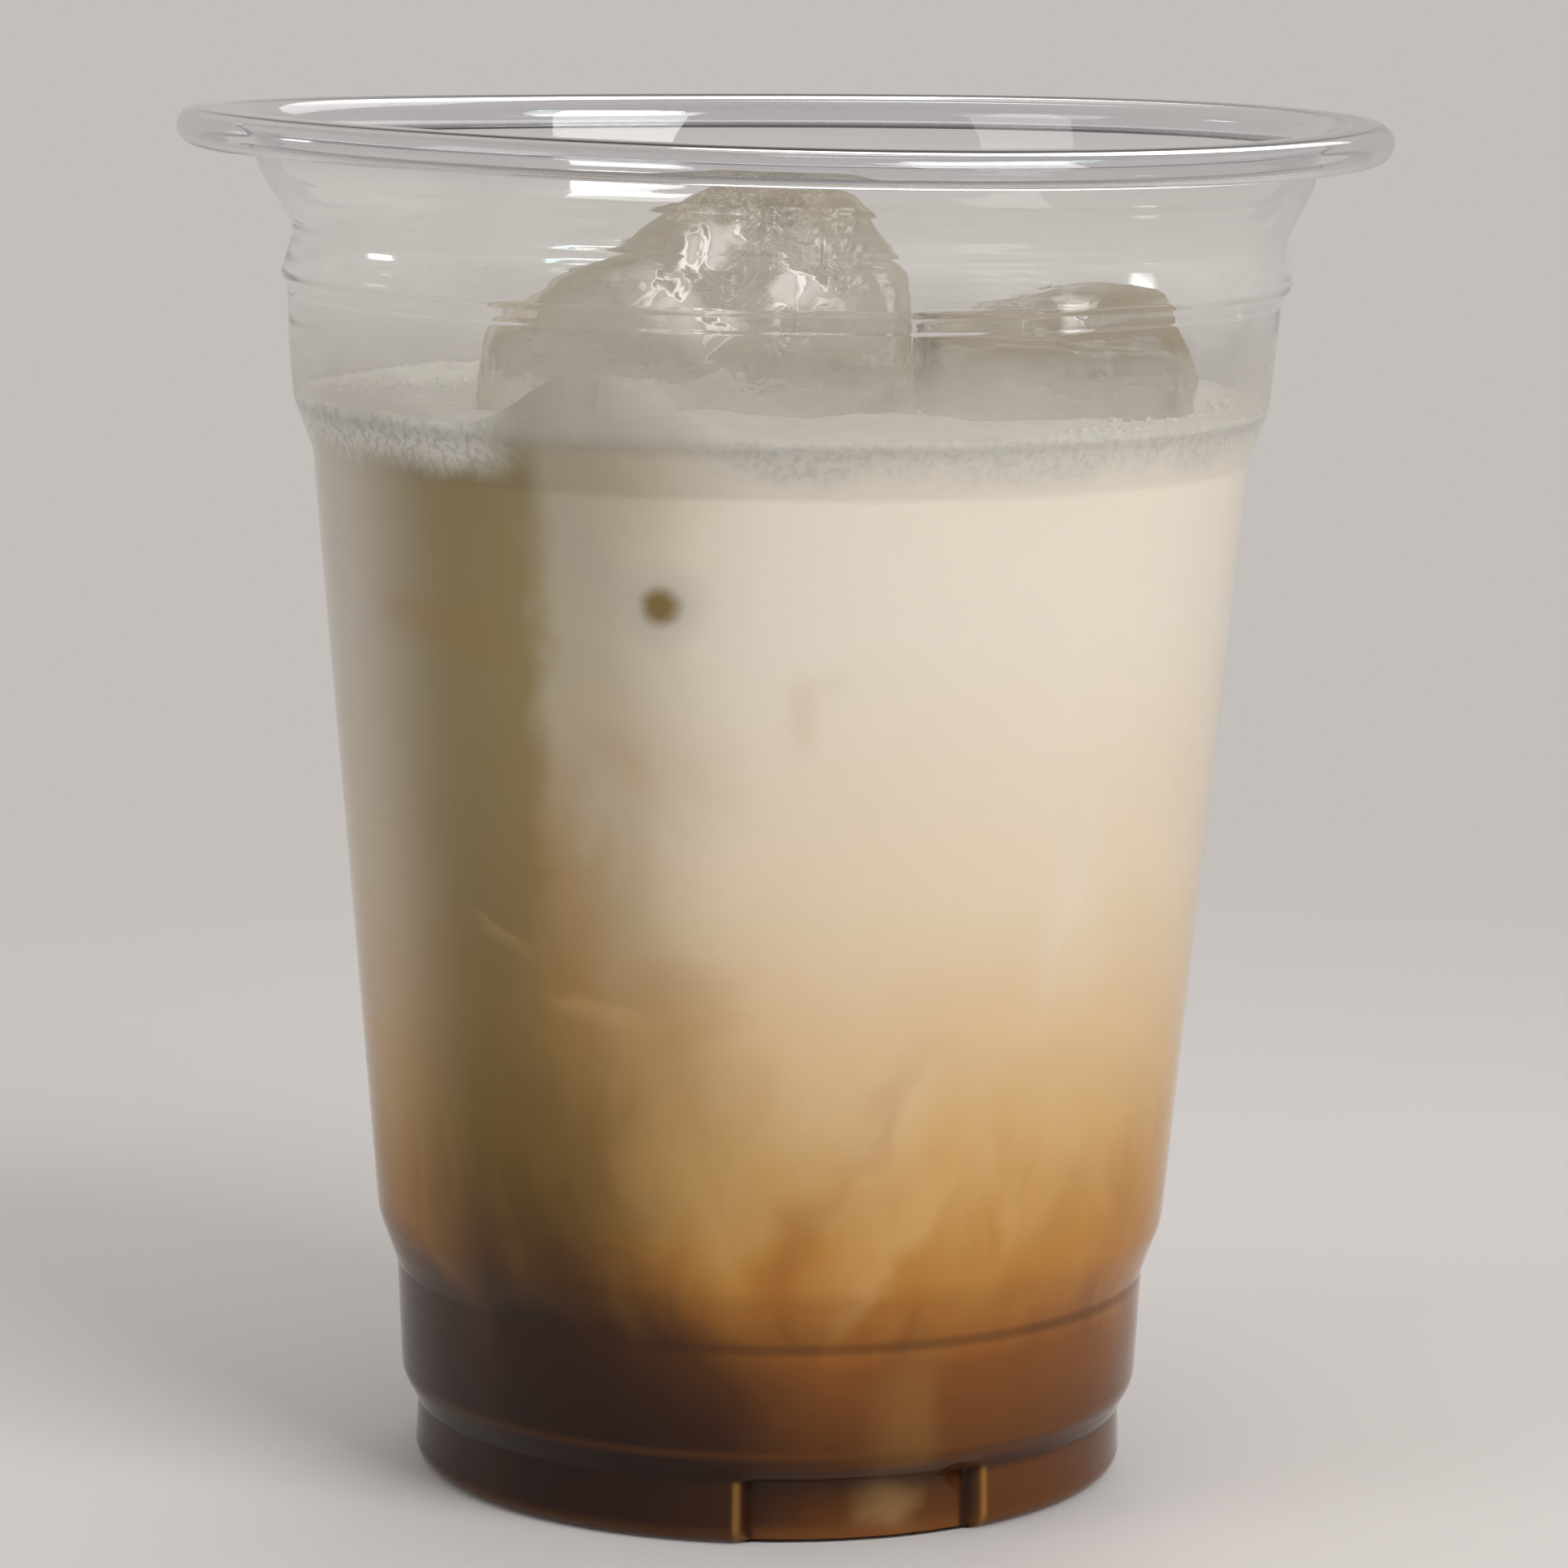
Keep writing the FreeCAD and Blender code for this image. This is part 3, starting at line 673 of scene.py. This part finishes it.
def lathe_group():
    """Turns an outline round the axis, then presses in the recesses and the sheet's unevenness."""
    group, tree, given, result = new_group("Lathe", [
        ("Segments", "Int"), ("Recesses", "Int"), ("First Recess", "Float"),
        ("Recess Arc", "Float"), ("Recess Side", "Float"), ("Recess Height", "Float"),
        ("Dent", "Float"), ("Dent Height", "Float"), ("Waviness", "Float"),
        ("Rim Warp", "Float"), ("Rim Height", "Float"), ("Material", "Material")])
    profile = tree.add("GeometryNodeMeshToCurve", given.outputs["Geometry"])
    section = tree.add("GeometryNodeCaptureAttribute", profile.outputs[0])
    section.capture_items.new("VECTOR", "Section")
    tree.feed(section, {1: tree.add("GeometryNodeInputPosition").outputs[0]})
    circle = tree.add("GeometryNodeCurvePrimitiveCircle")
    tree.feed(circle, {"Resolution": given.outputs["Segments"], "Radius": 1.0})
    ring = tree.add("GeometryNodeCaptureAttribute", circle.outputs[0])
    ring.capture_items.new("FLOAT", "Step")
    tree.feed(ring, {1: tree.add("GeometryNodeInputIndex").outputs[0]})
    swept = tree.add("GeometryNodeCurveToMesh")
    tree.feed(swept, {"Curve": ring.outputs[0], "Profile Curve": section.outputs[0]})

    share = tree.times(tree.math("DIVIDE", ring.outputs[1], given.outputs["Segments"]), 2 * pi)
    point = tree.add("ShaderNodeSeparateXYZ", section.outputs[1])
    radius, height = point.outputs[0], point.outputs[2]

    pitch = tree.math("DIVIDE", 2 * pi, given.outputs["Recesses"])
    half_pitch = tree.times(pitch, 0.5)
    off = tree.math("FLOORED_MODULO", tree.plus(share, half_pitch), pitch)
    off = tree.minus(off, half_pitch)
    middle = tree.plus(tree.minus(share, off), given.outputs["First Recess"])
    part = tree.math("DIVIDE", tree.math("ABSOLUTE", off), half_pitch)
    half_arc = tree.times(given.outputs["Recess Arc"], 0.5)
    side_end = tree.plus(half_arc, given.outputs["Recess Side"])
    near_side = tree.minus(half_arc, FINE_MARGIN)
    past_side = tree.plus(side_end, FINE_MARGIN)
    first, last = FINE_SHARE
    away = tree.slope(part, 0.0, first, 0.0, near_side)
    away = tree.plus(away, tree.slope(part, first, last, 0.0, tree.minus(past_side, near_side)))
    away = tree.plus(away, tree.slope(part, last, 1.0, 0.0, tree.minus(half_pitch, past_side)))
    angle = tree.plus(middle, tree.times(tree.math("SIGN", off), away))
    within = tree.between(away, side_end, half_arc)
    recess_top = given.outputs["Recess Height"]
    low = tree.between(height, tree.plus(recess_top, 0.0004), recess_top)
    back = tree.add("GeometryNodeInputNamedAttribute", "recess_back", data_type="FLOAT").outputs[0]
    pressed = tree.math("MAXIMUM", tree.minus(radius, back), 0.0)
    radius = tree.minus(radius, tree.times(pressed, tree.times(within, low)))

    spot = tree.minus(height, given.outputs["Dent Height"])
    spot = tree.times(tree.times(spot, spot), -1 / DENT_REACH ** 2)
    leftness = tree.between(tree.math("COSINE", tree.minus(angle, pi)), 0.80, 1.0)
    dent = tree.times(tree.times(tree.math("EXPONENT", spot), leftness), given.outputs["Dent"])
    across, ahead = tree.math("COSINE", angle), tree.math("SINE", angle)
    around = tree.xyz(across, ahead, tree.times(height, 25.0))
    wave = tree.minus(tree.noise(around, 1.6, 2.0), 0.5)
    loose = tree.between(height, 0.012, 0.100)
    wave = tree.times(tree.times(wave, loose), given.outputs["Waviness"])
    open_part = tree.between(radius, 0.020, 0.028)
    radius = tree.plus(radius, tree.times(tree.minus(wave, dent), open_part))
    lift = tree.math("SINE", tree.plus(tree.times(angle, 2.0), 0.6))
    lift = tree.times(tree.times(lift, given.outputs["Rim Warp"]),
                     tree.between(height, 0.095, given.outputs["Rim Height"]))
    spun = tree.xyz(tree.times(radius, across), tree.times(radius, ahead), tree.plus(height, lift))
    placed = tree.add("GeometryNodeSetPosition", swept.outputs[0])
    tree.feed(placed, {"Position": spun})
    joined = tree.add("GeometryNodeMergeByDistance", placed.outputs[0])
    tree.feed(joined, {"Distance": 0.000005})
    dress(tree, joined, given, result)
    return group


def bubbles_group():
    """Scatters half-sunk bubbles over the faces that it is given."""
    group, tree, given, result = new_group("Froth Bubbles", [
        ("Density", "Float"), ("Smallest", "Float"), ("Largest", "Float"), ("Seed", "Int"),
        ("Material", "Material")])
    spread = tree.add("GeometryNodeDistributePointsOnFaces", given.outputs["Geometry"])
    patch = tree.add("GeometryNodeInputNamedAttribute", "frothy", data_type="FLOAT").outputs[0]
    tree.feed(spread, {"Density": tree.times(given.outputs["Density"], patch),
                       "Seed": given.outputs["Seed"]})
    ball = tree.add("GeometryNodeMeshIcoSphere", 1.0, 2)
    pick = tree.add("FunctionNodeRandomValue", data_type="FLOAT")
    tree.feed(pick, {2: 0.0, 3: 1.0, "Seed": given.outputs["Seed"]})
    few_large = tree.math("POWER", pick.outputs[1], 3.0)
    size = tree.slope(few_large, 0.0, 1.0, given.outputs["Smallest"], given.outputs["Largest"])
    placed = tree.add("GeometryNodeInstanceOnPoints", spread.outputs[0])
    tree.feed(placed, {"Instance": ball.outputs[0], "Scale": size})
    dress(tree, placed, given, result)
    return group


def made_with(group, values, mesh, name):
    """Runs a geometry tree on a mesh and keeps the result as a plain object."""
    source = bpy.data.objects.new(name + "_source", mesh)
    bpy.context.collection.objects.link(source)
    modifier = source.modifiers.new("Shape", "NODES")
    modifier.node_group = group
    for item in group.interface.items_tree:
        if item.in_out == "INPUT" and item.name in values:
            modifier[item.identifier] = values[item.name]
    ready = source.evaluated_get(bpy.context.evaluated_depsgraph_get())
    piece = bpy.data.objects.new(name, bpy.data.meshes.new_from_object(ready))
    source.modifiers.remove(modifier)
    bpy.data.objects.remove(source)
    bpy.context.collection.objects.link(piece)
    return piece


# ---- Pieces ------------------------------------------------------------------------
def line_mesh(name, line, backs):
    """A polyline in the XZ plane, in metres, with the radius that a recess presses each point to."""
    mesh = bpy.data.meshes.new(name)
    points = [(r * MM, 0.0, z * MM) for r, z in line]
    mesh.from_pydata(points, [(i, i + 1) for i in range(len(points) - 1)], [])
    back = mesh.attributes.new("recess_back", "FLOAT", "POINT")
    back.data.foreach_set("value", [b * MM for b in backs])
    return mesh


def face_outwards(piece):
    """Points a closed piece's faces outwards."""
    work = bmesh.new()
    work.from_mesh(piece.data)
    bmesh.ops.recalc_face_normals(work, faces=work.faces)
    work.to_mesh(piece.data)
    work.free()


def keep(piece, slot, *nodes):
    """Hands a finished piece over: its body and the CAD nodes it stands for. Its slot is not used."""
    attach(piece, "root")
    if nodes:
        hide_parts(*nodes)


def lathe_values(cup, material):
    """The lathe's inputs that the cup and the drink share."""
    return {"Segments": cup.segments, "Recesses": cup.recesses, "First Recess": cup.recess_first,
            "Recess Arc": cup.recess_arc, "Recess Side": RECESS_SIDE,
            "Recess Height": cup.recess_height, "Dent": DENT_DEPTH * MM,
            "Dent Height": DENT_HEIGHT * MM, "Waviness": WAVINESS * MM,
            "Rim Warp": RIM_WARP * MM, "Rim Height": HEIGHT * MM, "Material": material}


def turned(cup, name, line, backs, material):
    """A closed piece turned on the lathe from its outline."""
    group = bpy.data.node_groups.get("Lathe") or lathe_group()
    piece = made_with(group, lathe_values(cup, material), line_mesh(name, line, backs), name)
    face_outwards(piece)
    return piece


def make_cup(cup):
    """The clear sheet, both faces and the open roll of the lip."""
    wall = cup.wall / MM
    middle = sheet_line(wall)
    outer = sampled(shifted(middle, wall / 2))
    inner = sampled(shifted(middle, -wall / 2))
    depth = FOOT_RADIUS - cup.recess_depth / MM
    line = outer + inner[::-1]
    backs = [depth] * len(outer) + [depth - wall] * len(inner)
    piece = turned(cup, "clear_cup", line, backs, sheet_material(cup, "clear_sheet", 1.57))
    piece.data.materials.append(sheet_material(cup, "clear_sheet_on_drink", 1.28))
    for face in piece.data.polygons:
        if face.center.z < (LEVEL - 0.5) * MM:
            face.material_index = 1
    keep(piece, "clear_plastic", "cup")


def surface_lift(x, y):
    """How far the drink's top stands over its level, in mm, at a place in mm."""
    broad, fine = Vector((x, y, 3.0)) * 0.12, Vector((x, y, 7.0)) * 0.5
    return 0.5 * noise.noise(broad) + 0.22 * noise.noise(fine)


def press_in(piece, name):
    """Presses the hollow for a sunk block into the drink, a little smaller than the block."""
    tool = bpy.data.objects.new("hollow", melted(name, HOLLOW_GRAIN * MM, HOLLOW_SHRINK))
    bpy.context.collection.objects.link(tool)
    cut = piece.modifiers.new("Hollow", "BOOLEAN")
    cut.operation, cut.solver, cut.object = "DIFFERENCE", "MANIFOLD", tool
    ready = piece.evaluated_get(bpy.context.evaluated_depsgraph_get())
    mesh = bpy.data.meshes.new_from_object(ready)
    piece.modifiers.remove(cut)
    piece.data = mesh
    bpy.data.objects.remove(tool)


def make_drink(cup, drink):
    """One body of drink that reaches into the wall, with froth, a meniscus and a hump of milk."""
    wall = cup.wall / MM
    rising = sampled(sheet_line(wall))
    top = next(i for i, (r, z) in enumerate(rising) if z > LEVEL)
    wall_line = rising[:top + 12]
    edge = at_height(wall_line, LEVEL)
    steps = [edge - 0.5 * k for k in range(1, 15)]
    steps += [steps[-1] * (1 - k / 22) for k in range(1, 23)]
    line = rising[:top] + [(edge, LEVEL)] + [(r, LEVEL) for r in steps]
    depth = FOOT_RADIUS - cup.recess_depth / MM - wall / 2
    piece = turned(cup, "latte", line, [depth] * len(line), drink_material(cup, drink))
    hump = drink.hump / MM
    for vertex in piece.data.vertices:
        x, y, z = (c / MM for c in vertex.co)
        if z < LEVEL - 0.001:
            continue
        radius = math.hypot(x, y)
        turn = math.degrees(math.atan2(x, -y))
        in_from_wall = edge - radius
        meniscus = MENISCUS_HEIGHT * math.exp(-in_from_wall / MENISCUS_REACH)
        beside = abs((turn - HUMP_TURN) / HUMP_WIDTH)
        cling = hump * math.exp(-beside ** 2.4) * math.exp(-(in_from_wall / HUMP_REACH) ** 2)
        lift = surface_lift(x, y) + meniscus + cling
        out = 1.0
        if in_from_wall < 0.05 and radius > 0:
            out = at_height(wall_line, LEVEL + lift) / edge
        vertex.co = (x * out * MM, y * out * MM, (z + lift) * MM)
    for name in ICE_FORMS:
        press_in(piece, name)
    keep(piece, "milk", *DRINK_NODES)
    return piece


def make_bubbles(piece, drink):
    """Bubbles in patches of froth on the drink's top."""
    work = bmesh.new()
    work.from_mesh(piece.data)
    low = [f for f in work.faces if f.normal.z < 0.6 or f.calc_center_median().z < (LEVEL - 1) * MM]
    bmesh.ops.delete(work, geom=low, context="FACES")
    top = bpy.data.meshes.new("froth_patch")
    work.to_mesh(top)
    work.free()
    frothy = top.attributes.new("frothy", "FLOAT", "POINT")
    weights = []
    for vertex in top.vertices:
        x, y = vertex.co.x / MM, vertex.co.y / MM
        radius = math.hypot(x, y)
        patch = max(0.0, noise.noise(Vector((x, y, 1.0)) * 0.09) + 0.25)
        weights.append(patch * max(0.0, min(1.0, (radius - 24) / 10)))
    frothy.data.foreach_set("value", weights)
    values = {"Density": drink.bubbles, "Smallest": drink.bubble_smallest,
              "Largest": drink.bubble_largest, "Seed": 5, "Material": bubble_material(drink)}
    bubbles = made_with(bubbles_group(), values, top, "froth_bubbles")
    keep(bubbles, "froth")


def melted(name, grain, shrink=0.0):
    """A melting block's mesh. Over its ridge the front leans back. It can be shrunk a little."""
    form = ICE_FORMS[name]
    work = bmesh.new()
    work.from_mesh(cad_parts[name].data)
    bmesh.ops.remove_doubles(work, verts=work.verts, dist=0.00001)
    mesh = bpy.data.meshes.new(name + "_block")
    work.to_mesh(mesh)
    work.free()
    block = bpy.data.objects.new(name + "_source", mesh)
    bpy.context.collection.objects.link(block)
    remesh = block.modifiers.new("Grain", "REMESH")
    remesh.mode = "VOXEL"
    remesh.voxel_size = grain
    ready = block.evaluated_get(bpy.context.evaluated_depsgraph_get())
    mesh = bpy.data.meshes.new_from_object(ready)
    bpy.data.objects.remove(block)
    depths = [vertex.co.y / MM for vertex in mesh.vertices]
    front, back = min(depths), max(depths)
    left = min(vertex.co.x for vertex in mesh.vertices) / MM
    for vertex in mesh.vertices:
        x, y, z = (c / MM for c in vertex.co)
        over = max(0.0, z - LEVEL - (form["ridge"] - form["fall"] * x))
        across = (y - front) / (back - front)
        vertex.co.x -= form["stretch"] * max(0.0, 1 - (x - left) / 8) * MM
        vertex.co.y += (form["lean"] * over * (1 - across) ** 2 - 0.2 * over * across ** 2) * MM
    mesh.update()
    moves = []
    for vertex in mesh.vertices:
        place = Vector(vertex.co) / MM + Vector((form["seed"] * 31.0, 0, 0))
        swell = 0.6 * noise.noise(place * 0.11)
        dimple = 0.30 * noise.noise(place * 0.28) - 0.15 * abs(noise.noise(place * 0.5))
        moves.append(vertex.normal * (swell + dimple - 0.1 - shrink) * MM)
    for vertex, move in zip(mesh.vertices, moves):
        vertex.co += move
    mesh.update()
    return mesh


def make_ice(name, ice, material):
    """A block of ice, with marks for its edges (partly painted shade), its broken patch (painted
    highlight) and its stained top.
    """
    mesh = melted(name, ice.grain)
    (patch_x, patch_z, half_width, half_height), stained = ICE_MARKS[name]
    marks = {"edge": [], "broken": [], "golden": []}
    tops = {}
    for vertex in mesh.vertices:
        column = round(vertex.co.x / MM)
        tops[column] = max(tops.get(column, 0.0), vertex.co.z / MM)
    first, last = min(tops), max(tops)
    for vertex in mesh.vertices:
        x, y, z = (c / MM for c in vertex.co)
        depth = min(tops[round(x)] - z, x - first, last - x)
        level = max(0.0, vertex.normal.z - 0.6) / 0.4
        # The edge mark carries the khaki tint, partly painted shade along the block's top and ends.
        marks["edge"].append(max(0.0, min(1.0, 1.6 - depth / 2.2)) * (1 - 0.7 * level))
        # The broken patch is where the white folds of painted highlight go.
        ragged = 0.45 * noise.noise(Vector((x, y, z)) * 0.22)
        patch = 1 - math.hypot((x - patch_x) / half_width, (z - patch_z) / half_height) + ragged
        marks["broken"].append(max(0.0, min(1.0, 1.8 * patch)))
        stain = max(0.0, min(1.0, (z - LEVEL - STAIN_START) / 1.6))
        marks["golden"].append(stained * stain * (1 - 0.4 * level))
    for mark, values in marks.items():
        attribute = mesh.attributes.new(mark, "FLOAT", "POINT")
        attribute.data.foreach_set("value", values)
    mesh.materials.clear()
    mesh.materials.append(material)
    mesh.shade_smooth()
    piece = bpy.data.objects.new(name + "_clear", mesh)
    bpy.context.collection.objects.link(piece)
    keep(piece, "ice", name)


def set_world(stage):
    """An even pale surround. What the clear sheet mirrors from the front is a dimmer room."""
    world = bpy.data.worlds.new("surround")
    bpy.context.scene.world = world
    world.use_nodes = True
    world.cycles.sampling_method = "NONE"
    tree = Tree(world.node_tree)
    path = tree.add("ShaderNodeLightPath")
    mirrored = tree.times(path.outputs["Is Glossy Ray"],
                         tree.minus(1.0, path.outputs["Is Transmission Ray"]))
    ray = tree.add("ShaderNodeTexCoord").outputs["Generated"]
    ahead = tree.add("ShaderNodeSeparateXYZ", ray).outputs[1]
    front = tree.between(ahead, 0.4, -0.4, 0.0, 0.55)
    tone = tree.mix(tree.times(mirrored, front), stage.backdrop, stage.room)
    tree.feed(world.node_tree.nodes["Background"], {"Color": tone, "Strength": 1.0})


def add_lamp(name, power, size, azimuth, elevation, distance, aim):
    """A soft lamp that lights the object and isn't mirrored in it."""
    data = bpy.data.lights.new(name, "AREA")
    data.energy, data.shape, data.size, data.size_y = power, "RECTANGLE", size[0], size[1]
    lamp = bpy.data.objects.new(name, data)
    a, e = radians(azimuth), radians(elevation)
    lamp.location = Vector(aim) + distance * Vector((sin(a) * cos(e), -cos(a) * cos(e), sin(e)))
    lamp.rotation_euler = (lamp.location - Vector(aim)).to_track_quat("Z", "Y").to_euler()
    lamp.visible_camera = False
    lamp.visible_glossy = False
    bpy.context.collection.objects.link(lamp)
    return lamp


def make_window(lamp, tone, fade):
    """Makes a lamp one that is only mirrored, like a window, with edges that fade."""
    data = lamp.data
    data.color = tone
    lamp.visible_diffuse = False
    lamp.visible_glossy = True
    data.use_nodes = True
    tree = Tree(data.node_tree)
    spot = tree.add("ShaderNodeNewGeometry").outputs["Parametric"]
    sides = tree.add("ShaderNodeSeparateXYZ", spot).outputs[:2]
    strength = tree.minus(1.0, tree.add("ShaderNodeLightPath").outputs["Diffuse Depth"], clamp=True)
    for side in sides:
        strength = tree.times(strength, tree.between(tree.apart(side, 0.5), 0.5, 0.49 - fade))
    tree.feed(data.node_tree.nodes["Emission"], {"Strength": strength})


def add_floor(stage):
    """A wide round floor."""
    work = bmesh.new()
    bmesh.ops.create_circle(work, cap_ends=True, segments=96, radius=6.0)
    mesh = bpy.data.meshes.new("floor")
    work.to_mesh(mesh)
    work.free()
    floor = bpy.data.objects.new("floor", mesh)
    mesh.materials.append(floor_material(stage))
    bpy.context.collection.objects.link(floor)


def add_camera(stage):
    """A long lens, a little over the rim and looking slightly down."""
    data = bpy.data.cameras.new("camera")
    data.lens, data.sensor_width = stage.lens, 36.0
    data.clip_start, data.clip_end = 0.01, 30.0
    camera = bpy.data.objects.new("camera", data)
    look = Matrix.Rotation(CAMERA_PAN, 4, "Z") @ Matrix.Rotation(pi / 2 - CAMERA_TILT, 4, "X")
    look = look @ Matrix.Rotation(CAMERA_ROLL, 4, "Z")
    camera.matrix_world = Matrix.Translation(CAMERA_PLACE) @ look
    bpy.context.collection.objects.link(camera)
    bpy.context.scene.camera = camera


# ---- Operators ---------------------------------------------------------------------
class LATTE_OT_cup(bpy.types.Operator):
    """Form the clear cup"""
    bl_idname = "latte.cup"
    bl_label = "Form Cup"

    def execute(self, context):
        make_cup(context.scene.latte_cup)
        return {"FINISHED"}


class LATTE_OT_drink(bpy.types.Operator):
    """Pour the drink with its froth"""
    bl_idname = "latte.drink"
    bl_label = "Pour Drink"

    def execute(self, context):
        piece = make_drink(context.scene.latte_cup, context.scene.latte_drink)
        make_bubbles(piece, context.scene.latte_drink)
        return {"FINISHED"}


class LATTE_OT_ice(bpy.types.Operator):
    """Put the two pieces of ice in"""
    bl_idname = "latte.ice"
    bl_label = "Add Ice"

    def execute(self, context):
        ice = context.scene.latte_ice
        material = ice_material(ice)
        for name in ICE_FORMS:
            make_ice(name, ice, material)
        return {"FINISHED"}


class LATTE_OT_stage(bpy.types.Operator):
    """Set the floor, the light and the camera"""
    bl_idname = "latte.stage"
    bl_label = "Set Stage"

    def execute(self, context):
        stage = context.scene.latte_stage
        context.scene.view_settings.view_transform = "Standard"
        set_world(stage)
        add_floor(stage)
        for name, place in LAMPS.items():
            add_lamp(name, getattr(stage, name), *place)
        for name, (power, place, tone, fade) in WINDOWS.items():
            make_window(add_lamp(name, power, *place), tone, fade)
        add_camera(stage)
        return {"FINISHED"}


class LATTE_PT_panel(bpy.types.Panel):
    """The pieces of the drink, in the order they are made"""
    bl_idname = "LATTE_PT_panel"
    bl_label = "Iced Latte"
    bl_space_type = "VIEW_3D"
    bl_region_type = "UI"
    bl_category = "Latte"

    def draw(self, context):
        for operator in OPERATORS:
            self.layout.operator(operator.bl_idname)


OPERATORS = (LATTE_OT_cup, LATTE_OT_ice, LATTE_OT_drink, LATTE_OT_stage)
CLASSES = (*GROUPS.values(), *OPERATORS, LATTE_PT_panel)


def register():
    for item in CLASSES:
        bpy.utils.register_class(item)
    for name, group in GROUPS.items():
        setattr(bpy.types.Scene, name, PointerProperty(type=group))


def unregister():
    for name in GROUPS:
        delattr(bpy.types.Scene, name)
    for item in reversed(CLASSES):
        bpy.utils.unregister_class(item)


def main():
    register()
    bpy.ops.latte.cup()
    bpy.ops.latte.ice()
    bpy.ops.latte.drink()
    bpy.ops.latte.stage()


if __name__ == "__main__":
    main()
